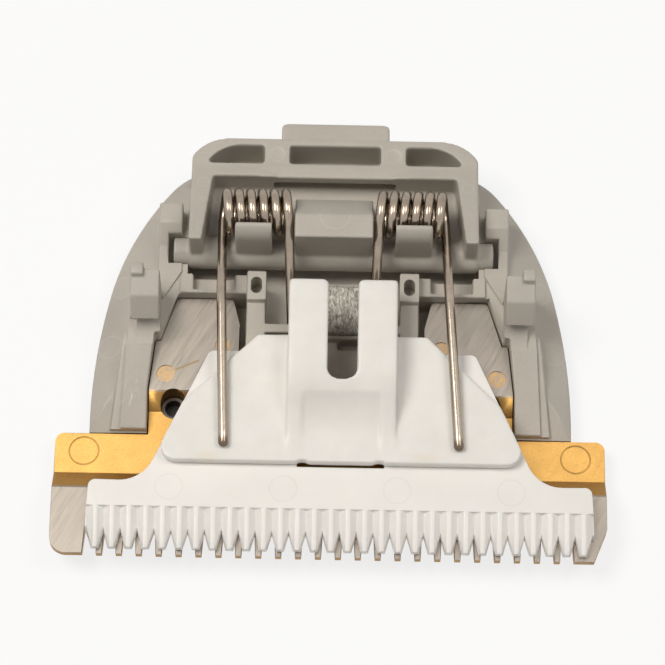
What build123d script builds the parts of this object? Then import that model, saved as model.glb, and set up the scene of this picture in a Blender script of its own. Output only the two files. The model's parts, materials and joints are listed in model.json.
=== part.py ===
"""Detachable blade head of a hair clipper, lying on its outer cover with the inside up.

Millimetres. +X runs along the row of teeth, +Y from the teeth to the hinge tab, +Z up from
the outer cover. The origin is the middle of the underside of the whole head. Profiles are
drawn with their second axis starting at the tooth tips, so a "y" in the sizes below is a
distance behind the tips.
"""

from build123d import *
from math import cos, radians, sin, tan
import os

os.makedirs("parts", exist_ok=True)

# Whole head, from the tooth tips to the end of the hinge tab
overall_length = 39.0

# Fixed blade: a sintered steel comb with two legs and a cross channel
blade_width = 46.0
blade_thickness = 3.4
tooth_count = 24
tooth_pitch = 1.638
tooth_length = 5.2
tooth_root_width = 1.0
tooth_tip_width = 0.5
tooth_tip_thickness = 0.7
skin_bevel_length = 6.4
land_depth = 5.74
front_flank = 1.76
channel_length = 5.55
channel_depth = 1.4
rear_flank = 1.5
pad_length = 8.3
ear_depth = 11.05
ear_corner_radius = 0.8
left_tip_radius = 1.5
right_tip_chamfer_length = 2.9
right_tip_chamfer_width = 1.1
leg_inner = 7.8
leg_outer = 15.3
leg_shoulder_width = 14.85
leg_shoulder_step = 0.5
leg_shoulder_back = 3.9
leg_end_outer = 13.1
leg_end_inner = 8.4
leg_end_taper = 2.4
leg_corner_radius = 0.45
leg_flange = 0.5
leg_flange_back = 2.2
web_depth = 1.0
blade_hole_diameter = 2.2
blade_hole_spacing = 26.4
blade_hole_forward = 1.0
ear_mark_diameter = 2.57
ear_mark_inset = 2.45
ear_mark_forward = 1.6
mark_line = 0.14
mark_depth = 0.06
outer_dimple_diameter = 1.55
outer_dimple_x = 13.9
outer_dimple_back = 1.45
inner_dimple_diameter = 1.3
inner_dimple_x = 9.2
inner_dimple_back = 4.1
dimple_depth = 0.12

# Moving blade: a ceramic cutter that slides along X on the ground lands
cutter_shift = 0.9
cutter_film = 0.02
cutter_thickness = 1.7
cutter_tip_setback = 0.35
cutter_width = 42.1
cutter_end_draft = 0.33
cutter_tooth_count = 30
cutter_tooth_pitch = 1.385
cutter_wing_depth = 5.5
cutter_body_depth = 17.1
cutter_rear_width = 22.2
cutter_neck_width = 32.7
cutter_neck_radius = 3.0
cutter_corner_radius = 0.6
ridge_length = 3.25
ridge_width = 0.3
ridge_drop = 1.0
groove_depth = 0.45
cutter_gap_length = 1.4
cutter_gap_lean = 0.65
cutter_point_width = 0.63
cutter_notch_width = 7.2

# Drive follower: a plastic plate glued on the cutter, with a fork for the drive pin
plate_thickness = 1.0
plate_front = 7.36
plate_length = 11.26
plate_rear_width = 14.2
plate_edge_inset = 0.15
plate_corner_radius = 1.2
plate_slit = 0.1
plate_relief_width = 0.9
plate_relief_depth = 0.16
key_length = 4.4
key_fit = 0.1
fork_height = 2.8
fork_width = 9.05
fork_overhang = 3.98
prong_end_thickness = 1.6
prong_corner_radius = 0.28
slot_width = 2.5
slot_depth = 8.7
slot_corner_radius = 0.9
slot_lead = 0.3
ramp_inset = 0.35
ramp_bend_run = 4.4
ramp_bend_rise = 1.4
ramp_rib_width = 1.25
ramp_hollow_inset = 1.0
ramp_hollow_run = 4.2
ramp_hollow_rise = 1.88

# Lever: carries both springs, turns on two end pins and ends in the hinge tab
pivot_setback = 4.05
pin_height = 4.0
pin_diameter = 2.4
pin_span = 27.1
barrel_diameter = 2.8
lever_width = 24.4
arm_thickness = 1.85
arm_front_thickness = 1.1
arm_reach = 0.7
arm_front_height = 8.5
beam_depth = 2.65
beam_height = 6.5
beam_underside = 2.6
beam_flat_width = 18.0
beam_end_depth = 0.9
band_depth = 1.0
window_front_wall = 0.35
window_rear_wall = 0.65
window_end_wall = 1.3
window_bow = 2.9
window_web = 2.15
middle_window_width = 7.8
window_floor = 0.5
tab_width = 9.3
tab_length = 2.45
tab_top = 4.5
tab_thickness = 1.5
tab_corner_radius = 0.4
trough_height = 4.1
trough_floor = 1.0
block_width = 6.6
block_height = 9.2
block_flat = 2.05
block_length = 4.75
block_rear_height = 6.3
block_slot_width = 5.0
block_slot_length = 0.7
lug_width = 3.1
lug_spacing = 13.5
lug_thickness = 0.7
lug_shoulder_height = 8.1
lug_height = 9.6
lug_lean = 0.75
lug_tip = 0.35
scoop_rear_width = 12.2
scoop_front_width = 9.0
scoop_depth = 1.5
lever_mark_diameter = 1.25

# Torsion springs, one each side of the lever's block
wire_diameter = 0.82
wire_sides = 8
coil_step_angle = 30.0
coil_setback = 2.2
coil_rise = 3.6
coil_radius = 1.65
coil_pitch = 0.99
coil_turns = 5
coil_inner = 3.85
inner_leg_slope = 33.0
inner_leg_reach = 3.65
inner_leg_lean = 0.5
outer_leg_slope = 8.0
outer_leg_kink_back = 7.15
outer_leg_tip_back = 1.3
outer_leg_spread = 19.4
spring_tip_clearance = 0.03

# Housing: the moulded cover with the seats for everything else
cover_gap = 0.1
cover_width = 40.4
cover_side_width = 39.9
cover_side_back = 6.15
cover_shoulder_width = 37.8
cover_shoulder_back = 12.45
cover_hip_width = 26.0
cover_hip_back = 23.45
cover_hip_radius = 6.0
cover_rear_inset = 1.6
cover_edge_height = 2.0
cover_edge_radius = 1.5
flange_height = 4.3
flange_run = 3.9
floor_thickness = 1.2
blade_fit = 0.08
rail_height = 4.95
rail_width = 2.2
side_rail_height = 4.6
side_rail_width = 0.85
side_rail_rear_width = 0.6
rail_front_height = 2.75
side_rail_front_height = 2.45
rail_end_setback = 0.1
hook_width = 2.45
hook_neck_forward = 2.55
hook_catch = 0.85
hook_catch_height = 6.8
hook_facet_height = 8.7
hook_facet_run = 1.35
hook_height = 9.3
hook_top_run = 2.2
hook_root_run = 2.5
hook_neck_inset = 0.5
nub_size = 1.1
nub_height = 0.4
nub_back = 0.45
saddle_height = 5.7
saddle_front_height = 4.5
saddle_slope_front = 0.25
saddle_slope_rear = 2.05
saddle_width = 2.0
saddle_skin = 0.85
saddle_front = 2.0
saddle_rear = 3.85
saddle_point = 4.5
pin_fit = 0.05
lever_side_gap = 0.65
arm_gap = 0.15
cross_wall_height = 4.6
cross_wall_gap = 0.85
cross_recess_width = 3.5
cross_recess_depth = 1.0
cross_recess_wall = 0.35
column_inner = 5.65
column_gap = 0.05
column_height = 5.0
column_setback = 0.35
column_head_height = 5.6
column_head_length = 2.7
column_bore = 0.95
column_bore_length = 1.5
column_bore_depth = 2.0
ledge_depth = 0.8
ledge_thickness = 0.6
ledge_setback = 0.66
peg_clearance = 0.1
peg_wall = 0.25
peg_engagement = 0.3
rest_rib_width = 1.2
rest_rib_length = 2.2
rest_rib_spacing = 16.0
rest_gap = 0.05
sump_width = 2.0
sump_length = 0.7
sump_x = 1.5
sump_depth = 0.9

# Oil felt in the middle of the housing
felt_width = 5.2
felt_length = 4.3
felt_thickness = 1.0
felt_setback = 3.05
felt_wall = 0.4
felt_wall_height = 0.6
felt_fit = 0.05

# Positions behind the tooth tips, and heights above the outer face
channel_front = land_depth + front_flank
channel_rear = channel_front + channel_length
pad_front = channel_rear + rear_flank
pad_rear = pad_front + pad_length
pivot_y = pad_rear + pivot_setback
beam_rear = overall_length - tab_length
beam_front = beam_rear - beam_depth
leg_shoulder = pad_rear - leg_shoulder_back
web_rear = pad_front + web_depth
channel_floor = blade_thickness - channel_depth
cutter_base = blade_thickness + cutter_film
cutter_top = cutter_base + cutter_thickness
cutter_rear = cutter_tip_setback + cutter_body_depth
plate_top = cutter_top + plate_thickness
plate_rear = plate_front + plate_length
fork_top = plate_top + fork_height
slot_rear = plate_rear + fork_overhang
slot_front = slot_rear - slot_depth
ramp_front = plate_front + ramp_inset
cover_front = ear_depth + cover_gap
well_half = leg_outer + blade_fit
felt_front = cutter_rear + felt_setback

cut_margin = 2.0


def level(z, x=0.0):
    """Horizontal plane at height z, with its second axis starting at the tooth tips."""
    return Plane(origin=(x, -overall_length / 2, z))


def section(x):
    """Upright plane across X, drawn as distance behind the tips and height."""
    return Plane(origin=(x, -overall_length / 2, 0), x_dir=(0, 1, 0), z_dir=(1, 0, 0))


def mirrored(half):
    """Close a half outline, drawn on the right, with its mirror image."""
    return half + [(-x, y) for x, y in reversed(half)]


def both_sides(x):
    return (x, -x)


# Fixed blade
gap_root_width = tooth_pitch - tooth_root_width
gap_mouth_width = tooth_pitch - tooth_tip_width
gap_spots = [(i - tooth_count / 2) * tooth_pitch for i in range(tooth_count + 1)]
blade_hole_y = channel_rear + rear_flank - blade_hole_forward
blade_holes = [(x, blade_hole_y) for x in both_sides(blade_hole_spacing / 2)]
ear_marks = [(x, ear_depth - ear_mark_forward) for x in both_sides(blade_width / 2 - ear_mark_inset)]
outer_dimples = [(x, pad_front + outer_dimple_back) for x in both_sides(outer_dimple_x)]
inner_dimples = [(x, pad_front + inner_dimple_back) for x in both_sides(inner_dimple_x)]

with BuildPart() as fixed_blade:
    # Comb bar: toothed land, front flank and channel floor, bevelled on the skin side
    with BuildSketch(section(0)):
        with BuildLine():
            Polyline(
                (0, blade_thickness - tooth_tip_thickness),
                (skin_bevel_length, 0),
                (ear_depth, 0),
                (ear_depth, channel_floor),
                (channel_front, channel_floor),
                (land_depth, blade_thickness),
                (0, blade_thickness),
                close=True,
            )
        make_face()
    extrude(amount=blade_width / 2, both=True)
    fillet(fixed_blade.edges().filter_by(Axis.Z).group_by(Axis.Y)[-1], ear_corner_radius)
    # Legs with the ground pads
    for side in (1, -1):
        with BuildSketch(level(floor_thickness)):
            with BuildLine():
                FilletPolyline(
                    (side * leg_inner, channel_front),
                    (side * leg_outer, channel_front),
                    (side * leg_outer, pad_front),
                    (side * leg_shoulder_width, leg_shoulder),
                    (side * (leg_shoulder_width - leg_shoulder_step), leg_shoulder),
                    (side * leg_end_outer, pad_rear),
                    (side * leg_end_inner, pad_rear),
                    (side * leg_inner, pad_rear - leg_end_taper),
                    close=True,
                    radius=[0, 0, 0, 0, 0, leg_corner_radius, leg_corner_radius, leg_corner_radius],
                )
            make_face()
        extrude(amount=blade_thickness - floor_thickness)
    # Web between the legs, and the unground step along their inner sides
    with BuildSketch(level(floor_thickness)):
        Polygon(
            mirrored(
                [
                    (leg_inner, channel_front),
                    (leg_inner, pad_rear - leg_end_taper - leg_flange_back + leg_flange),
                    (leg_inner - leg_flange, pad_rear - leg_end_taper - leg_flange_back),
                    (leg_inner - leg_flange, web_rear),
                ]
            ),
            align=None,
        )
    extrude(amount=channel_floor - floor_thickness)
    # Channel across the legs, with its sloping rear flank
    with BuildSketch(section(0)):
        Polygon(
            (land_depth, blade_thickness),
            (channel_front, channel_floor),
            (channel_rear, channel_floor),
            (pad_front, blade_thickness),
            (pad_front, blade_thickness + cut_margin),
            (land_depth, blade_thickness + cut_margin),
            align=None,
        )
    extrude(amount=blade_width / 2, both=True, mode=Mode.SUBTRACT)
    # Gaps between the teeth, with a narrow flat root
    with BuildSketch(level(0)):
        with Locations(*[(x, 0) for x in gap_spots]):
            Polygon(
                (-gap_mouth_width / 2, 0),
                (gap_mouth_width / 2, 0),
                (gap_root_width / 2, tooth_length),
                (gap_root_width / 4, tooth_length + gap_root_width / 2),
                (-gap_root_width / 4, tooth_length + gap_root_width / 2),
                (-gap_root_width / 2, tooth_length),
                align=None,
            )
    extrude(amount=blade_thickness, mode=Mode.SUBTRACT)
    # Outer tips: the left one rounded, the right one cut at a slant
    with BuildSketch(level(0)):
        Polygon(
            (blade_width / 2, 0),
            (blade_width / 2, right_tip_chamfer_length),
            (blade_width / 2 - right_tip_chamfer_width, 0),
            align=None,
        )
        with Locations((-blade_width / 2, 0)):
            Rectangle(left_tip_radius, left_tip_radius, align=(Align.MIN, Align.MIN))
        with Locations((-blade_width / 2 + left_tip_radius, left_tip_radius)):
            Circle(left_tip_radius, mode=Mode.SUBTRACT)
    extrude(amount=blade_thickness, mode=Mode.SUBTRACT)
    # Locating holes, ejector rings on the ears and unground dimples in the pads
    with BuildSketch(level(0)):
        with Locations(*blade_holes):
            Circle(blade_hole_diameter / 2)
    extrude(amount=blade_thickness, mode=Mode.SUBTRACT)
    with BuildSketch(level(channel_floor)):
        with Locations(*ear_marks):
            Circle(ear_mark_diameter / 2)
            Circle(ear_mark_diameter / 2 - mark_line, mode=Mode.SUBTRACT)
    extrude(amount=-mark_depth, mode=Mode.SUBTRACT)
    with BuildSketch(level(blade_thickness)):
        with Locations(*outer_dimples):
            Circle(outer_dimple_diameter / 2)
        with Locations(*inner_dimples):
            Circle(inner_dimple_diameter / 2)
    extrude(amount=-dimple_depth, mode=Mode.SUBTRACT)
fixed_blade.part.label = "fixed_blade"

# Moving blade
cutter_half = cutter_width / 2
wing_rear = cutter_tip_setback + cutter_wing_depth
ridge_rear = cutter_tip_setback + ridge_length
ridge_fall = ridge_drop / ridge_length
groove_half = (cutter_tooth_pitch - ridge_width) / 2
gap_rear = cutter_tip_setback + cutter_gap_length
gap_half = (cutter_tooth_pitch - cutter_point_width) / 2 * gap_rear / cutter_gap_length
row_half = cutter_tooth_count / 2 * cutter_tooth_pitch
groove_spots = [i * cutter_tooth_pitch - row_half for i in range(1, cutter_tooth_count)]
groove_start = Plane(
    origin=(cutter_shift, ridge_rear - overall_length / 2, cutter_top),
    x_dir=(1, 0, 0),
    z_dir=(0, -1, 0),
)
notch_front = plate_front - plate_slit

with BuildPart() as moving_blade:
    with BuildSketch(level(cutter_base, cutter_shift)):
        with BuildLine():
            FilletPolyline(
                mirrored(
                    [
                        (cutter_half, cutter_tip_setback),
                        (cutter_half - cutter_end_draft, wing_rear),
                        (cutter_neck_width / 2, wing_rear),
                        (cutter_rear_width / 2, cutter_rear),
                        (cutter_notch_width / 2, cutter_rear),
                        (cutter_notch_width / 2, notch_front),
                    ]
                ),
                close=True,
                radius=[0, cutter_corner_radius, cutter_neck_radius, cutter_corner_radius, 0, 0]
                + [0, 0, cutter_corner_radius, cutter_neck_radius, cutter_corner_radius, 0],
            )
        make_face()
    extrude(amount=cutter_thickness)
    # Ridges of the teeth slope down towards the tips
    with BuildSketch(section(cutter_shift)):
        Polygon(
            (ridge_rear, cutter_top),
            (0, cutter_top - ridge_fall * ridge_rear),
            (0, cutter_top),
            align=None,
        )
    extrude(amount=cutter_half, both=True, mode=Mode.SUBTRACT)
    # V-shaped grooves between the ridges; past each end tooth the floor is flat
    with BuildSketch(groove_start):
        with Locations(*[(x, 0) for x in groove_spots]):
            Polygon(
                (0, -groove_depth),
                (groove_half, 0),
                (groove_half, cut_margin),
                (-groove_half, cut_margin),
                (-groove_half, 0),
                align=None,
            )
        for side in (1, -1):
            with Locations((side * row_half, 0)):
                Polygon(
                    (0, -groove_depth),
                    (side * groove_half, -groove_depth),
                    (side * groove_half, cut_margin),
                    (-side * groove_half, cut_margin),
                    (-side * groove_half, 0),
                    align=None,
                )
    extrude(amount=ridge_rear, dir=(0, -1, -ridge_fall), mode=Mode.SUBTRACT)
    # Gaps that open towards the tips and lean back towards the top
    with BuildSketch(level(cutter_base, cutter_shift)):
        with Locations(*[(x, gap_rear) for x in groove_spots]):
            Polygon(
                (0, 0),
                (-gap_half, -gap_rear),
                (gap_half, -gap_rear),
                align=None,
            )
        for side in (1, -1):
            with Locations((side * row_half, gap_rear)):
                Polygon(
                    (0, 0),
                    (-side * gap_half, -gap_rear),
                    (side * gap_half, -gap_rear),
                    (side * gap_half, 0),
                    align=None,
                )
    extrude(amount=cutter_thickness, dir=(0, cutter_gap_lean / cutter_thickness, 1), mode=Mode.SUBTRACT)
moving_blade.part.label = "moving_blade"

# Drive follower
neck_slope = (cutter_neck_width - cutter_rear_width) / 2 / (cutter_rear - wing_rear)
plate_side_x = cutter_rear_width / 2 + neck_slope * (cutter_rear - plate_front) - plate_edge_inset
plate_rear_half = plate_rear_width / 2
plate_knee = plate_rear - (plate_side_x - plate_rear_half - neck_slope * plate_length) / (1 - neck_slope)
plate_knee_x = plate_rear_half + plate_rear - plate_knee
fork_half = fork_width / 2
slot_half = slot_width / 2

with BuildPart() as drive_follower:
    with BuildSketch(level(cutter_top, cutter_shift)):
        with BuildLine():
            FilletPolyline(
                mirrored(
                    [
                        (plate_side_x, plate_front),
                        (plate_knee_x, plate_knee),
                        (plate_rear_half, plate_rear),
                    ]
                ),
                close=True,
                radius=[plate_corner_radius, 0, 0, 0, 0, plate_corner_radius],
            )
        make_face()
        # Two reliefs in the front edge, over the ends of the cutter's notch
        for x in both_sides((cutter_notch_width - plate_relief_width) / 2):
            with Locations((x, plate_front)):
                Rectangle(plate_relief_width, 2 * plate_relief_depth, mode=Mode.SUBTRACT)
    extrude(amount=plate_thickness)
    # Key that fills the cutter's notch
    with BuildSketch(level(cutter_top, cutter_shift)):
        with Locations((0, slot_front)):
            Rectangle(
                cutter_notch_width - 2 * key_fit, key_length, align=(Align.CENTER, Align.MAX)
            )
    extrude(amount=key_fit - cutter_thickness)
    # Fork: a ramp that curves up from the plate's front, and the overhanging prongs
    with BuildSketch(section(cutter_shift)):
        with BuildLine():
            foot = TangentArc(
                (ramp_front, plate_top),
                (ramp_front + ramp_bend_run, plate_top + ramp_bend_rise),
                tangent=(1, 0),
            )
            TangentArc(
                foot @ 1,
                (ramp_front + ramp_bend_run * fork_height / ramp_bend_rise, fork_top),
                tangent=foot % 1,
            )
            Polyline(
                (ramp_front + ramp_bend_run * fork_height / ramp_bend_rise, fork_top),
                (slot_rear, fork_top),
                (slot_rear, fork_top - prong_end_thickness),
                (plate_rear, plate_top),
                (plate_rear, cutter_top),
                (ramp_front, cutter_top),
                (ramp_front, plate_top),
            )
        make_face()
    extrude(amount=fork_half, both=True)
    # Shallow hollow in the middle of the ramp
    with BuildSketch(section(cutter_shift)):
        with BuildLine():
            hollow = TangentArc(
                (ramp_front + ramp_hollow_inset, plate_top),
                (ramp_front + ramp_hollow_inset + ramp_hollow_run, plate_top + ramp_hollow_rise),
                tangent=(1, 0),
            )
            Polyline(
                hollow @ 1,
                (ramp_front + ramp_hollow_inset + ramp_hollow_run, fork_top),
                (ramp_front, fork_top),
                (ramp_front, plate_top),
                hollow @ 0,
            )
        make_face()
    extrude(amount=fork_half - ramp_rib_width, both=True, mode=Mode.SUBTRACT)
    # Slot for the drive pin, open to the rear with a lead-in
    with BuildSketch(level(cutter_top, cutter_shift)):
        with BuildLine():
            FilletPolyline(
                mirrored(
                    [
                        (slot_half, slot_front),
                        (slot_half, slot_rear - slot_lead),
                        (slot_half + slot_lead, slot_rear),
                        (slot_half + slot_lead, slot_rear + cut_margin),
                    ]
                ),
                close=True,
                radius=[slot_corner_radius, 0, 0, 0, 0, 0, 0, slot_corner_radius],
            )
        make_face()
    extrude(amount=fork_top - cutter_top, mode=Mode.SUBTRACT)
    fillet(drive_follower.edges().filter_by(Axis.Z).group_by(Axis.Y)[-1], prong_corner_radius)
drive_follower.part.label = "drive_follower"

# Lever
lever_half = lever_width / 2
arm_inner = lever_half - arm_thickness
arm_front = pivot_y - arm_reach
band_front = beam_front - band_depth
arm_slope = (arm_front_height - beam_height) / (beam_front - arm_front)
window_front = beam_front + window_front_wall
window_rear = beam_rear - window_rear_wall
block_front = pivot_y - arm_reach + rest_gap

with BuildPart() as lever:
    # Beam with a bowed back, then its row of deep windows
    with BuildSketch(level(beam_underside)):
        with BuildLine():
            Polyline(
                (-beam_flat_width / 2, beam_rear),
                (beam_flat_width / 2, beam_rear),
            )
            TangentArc(
                (beam_flat_width / 2, beam_rear),
                (lever_half, beam_front + beam_end_depth),
                tangent=(1, 0),
            )
            Polyline(
                (lever_half, beam_front + beam_end_depth),
                (lever_half, band_front),
                (-lever_half, band_front),
                (-lever_half, beam_front + beam_end_depth),
            )
            TangentArc(
                (-beam_flat_width / 2, beam_rear),
                (-lever_half, beam_front + beam_end_depth),
                tangent=(-1, 0),
            )
        make_face()
    extrude(amount=beam_height - beam_underside)
    with BuildSketch(level(beam_height)):
        with Locations((0, window_front)):
            Rectangle(middle_window_width, window_rear - window_front, align=(Align.CENTER, Align.MIN))
        for side in (1, -1):
            with BuildLine():
                inner_x = side * (middle_window_width / 2 + window_web)
                outer_x = side * (lever_half - window_end_wall)
                bow_x = side * (lever_half - window_end_wall - window_bow)
                Polyline(
                    (bow_x, window_rear),
                    (inner_x, window_rear),
                    (inner_x, window_front),
                    (outer_x, window_front),
                )
                TangentArc(
                    (bow_x, window_rear),
                    (outer_x, window_front),
                    tangent=(side, 0),
                )
            make_face()
    extrude(amount=beam_underside + window_floor - beam_height, mode=Mode.SUBTRACT)
    mark_x = (middle_window_width + window_web) / 2
    with BuildSketch(level(beam_height)):
        with Locations(*[(x, (window_front + window_rear) / 2) for x in both_sides(mark_x)]):
            Circle(lever_mark_diameter / 2)
    extrude(amount=-mark_depth, mode=Mode.SUBTRACT)
    # Arms that narrow to the front, and the band that joins them along the front of the beam
    with BuildSketch(section(arm_inner), section(-lever_half)):
        Polygon(
            (arm_front, pin_height - barrel_diameter / 2),
            (arm_front, arm_front_height),
            (beam_front, beam_height),
            (beam_front, beam_underside),
            (pivot_y, pin_height - barrel_diameter / 2),
            align=None,
        )
    extrude(amount=arm_thickness)
    for side in (1, -1):
        with BuildSketch(level(trough_height)):
            Polygon(
                (side * arm_inner, band_front),
                (side * (lever_half - arm_front_thickness), arm_front),
                (side * arm_inner, arm_front),
                align=None,
            )
        extrude(amount=arm_front_height - trough_height, mode=Mode.SUBTRACT)
    with BuildSketch(section(0)):
        Polygon(
            (band_front, beam_underside),
            (band_front, beam_height + arm_slope * band_depth),
            (beam_front, beam_height),
            (beam_front, beam_underside),
            align=None,
        )
    extrude(amount=lever_half, both=True)
    # Barrel with its end pins, and the floor of the trough below the coils
    with BuildSketch(section(0)):
        with Locations((pivot_y, pin_height)):
            Circle(barrel_diameter / 2)
    extrude(amount=lever_half, both=True)
    with BuildSketch(section(0)):
        with Locations((pivot_y, pin_height)):
            Circle(pin_diameter / 2)
    extrude(amount=pin_span / 2, both=True)
    with BuildSketch(section(0)):
        Polygon(
            (pivot_y, trough_height - trough_floor),
            (pivot_y, trough_height),
            (band_front, trough_height),
            (band_front, trough_height - trough_floor),
            align=None,
        )
    extrude(amount=lever_half, both=True)
    # Middle block and the two lugs in front of the coils
    with BuildSketch(section(0)):
        Polygon(
            (block_front, pin_height),
            (block_front, block_height),
            (block_front + block_flat, block_height),
            (block_front + block_length, block_rear_height),
            (block_front + block_length, pin_height),
            align=None,
        )
    extrude(amount=block_width / 2, both=True)
    for x in both_sides(lug_spacing / 2):
        with BuildSketch(section(x)):
            with BuildLine():
                TangentArc(
                    (block_front, lug_shoulder_height),
                    (block_front + lug_lean, lug_height),
                    tangent=(0, 1),
                )
                Polyline(
                    (block_front + lug_lean, lug_height),
                    (block_front + lug_lean + lug_tip, lug_height),
                    (block_front + lug_thickness, lug_shoulder_height),
                    (block_front + lug_thickness, pin_height),
                    (block_front, pin_height),
                    (block_front, lug_shoulder_height),
                )
            make_face()
        extrude(amount=lug_width / 2, both=True)
    # Scoop behind the block, and the slot at its foot
    with BuildSketch(level(trough_height)):
        Polygon(
            mirrored(
                [
                    (scoop_rear_width / 2, beam_front),
                    (scoop_front_width / 2, beam_front - scoop_depth),
                ]
            ),
            align=None,
        )
    extrude(amount=arm_front_height - trough_height, mode=Mode.SUBTRACT)
    with BuildSketch(level(beam_underside)):
        with Locations((0, block_front + block_length)):
            Rectangle(block_slot_width, block_slot_length, align=(Align.CENTER, Align.MIN))
    extrude(amount=trough_height - beam_underside, mode=Mode.SUBTRACT)
    # Hinge tab
    with BuildSketch(level(tab_top)):
        with Locations((0, beam_rear + tab_length)):
            Rectangle(tab_width, tab_length + window_rear_wall, align=(Align.CENTER, Align.MAX))
    extrude(amount=-tab_thickness)
    fillet(lever.edges().filter_by(Axis.Z).group_by(Axis.Y)[-1], tab_corner_radius)
lever.part.label = "lever"

# Torsion springs
coil_y = pivot_y + coil_setback
coil_z = pin_height + coil_rise
coil_sweep = 360 * coil_turns + 180 + inner_leg_slope + outer_leg_slope
coil_steps = round(coil_sweep / coil_step_angle)
coil_outer = coil_inner + coil_pitch * coil_sweep / 360
inner_tip_y = pad_rear - inner_leg_reach
outer_tip_y = plate_front + outer_leg_tip_back
spring_tip_z = plate_top + wire_diameter / 2 + spring_tip_clearance


def coil_point(side, step):
    """Place on the wire's centre line, counted in steps from the inner leg."""
    turned = coil_sweep * step / coil_steps
    around = radians(turned - inner_leg_slope)
    return Vector(
        side * (coil_inner + coil_pitch * turned / 360),
        coil_y + coil_radius * sin(around) - overall_length / 2,
        coil_z + coil_radius * cos(around),
    )


def spring(side):
    """Torsion spring: a straight inner leg off the top of the coil, a kinked outer leg off its foot."""
    top = coil_point(side, 0)
    foot = coil_point(side, coil_steps)
    inner_run = top.Y - inner_tip_y + overall_length / 2
    inner_tip = Vector(
        side * (coil_inner - inner_leg_lean),
        top.Y - inner_run,
        top.Z - inner_run * tan(radians(inner_leg_slope)),
    )
    kink = Vector(
        side * (coil_outer + outer_leg_spread / 2) / 2 + cutter_shift / 4,
        foot.Y - outer_leg_kink_back,
        foot.Z + outer_leg_kink_back * tan(radians(outer_leg_slope)),
    )
    outer_tip = Vector(
        side * outer_leg_spread / 2 + cutter_shift,
        outer_tip_y - overall_length / 2,
        spring_tip_z,
    )
    with BuildPart() as wire:
        with BuildLine() as run:
            Polyline(
                inner_tip,
                *[coil_point(side, step) for step in range(coil_steps + 1)],
                kink,
                outer_tip,
            )
        with BuildSketch(Plane(origin=inner_tip, z_dir=top - inner_tip)):
            RegularPolygon(wire_diameter / 2, wire_sides)
        sweep(path=run.line, transition=Transition.RIGHT)
    return wire.part


right_spring = spring(1)
right_spring.label = "right_spring"
left_spring = spring(-1)
left_spring.label = "left_spring"

# Housing
saddle_inner = lever_half + lever_side_gap
saddle_outer = saddle_inner + saddle_width
rail_front = cover_front + rail_end_setback
hook_neck = pad_rear - hook_neck_forward
hook_tip = hook_neck - hook_catch
hook_facet = hook_tip + hook_facet_run
hook_rear = hook_facet + hook_top_run
hook_root = hook_neck - hook_root_run
hook_inner = leg_shoulder_width - leg_shoulder_step + blade_fit
hook_outer = hook_inner + hook_width
cross_front = pad_rear + blade_fit
cross_rear = pivot_y - barrel_diameter / 2 - cross_wall_gap
column_front = cutter_rear + column_setback
column_outer = leg_inner - leg_flange - column_gap
ledge_front = plate_rear + ledge_setback
recess_x = (column_outer + saddle_inner) / 2
peg_top = floor_thickness + peg_engagement
rest_rib_y = (band_front + beam_rear) / 2


def front_fall(front_height, rear_height):
    """Space above a slope that drops from the hooks' roots to the front of the cover."""
    fall = (rear_height - front_height) / (hook_root - cover_front)
    return [(0, front_height - fall * cover_front), (hook_root, rear_height), (0, rear_height)]


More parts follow.
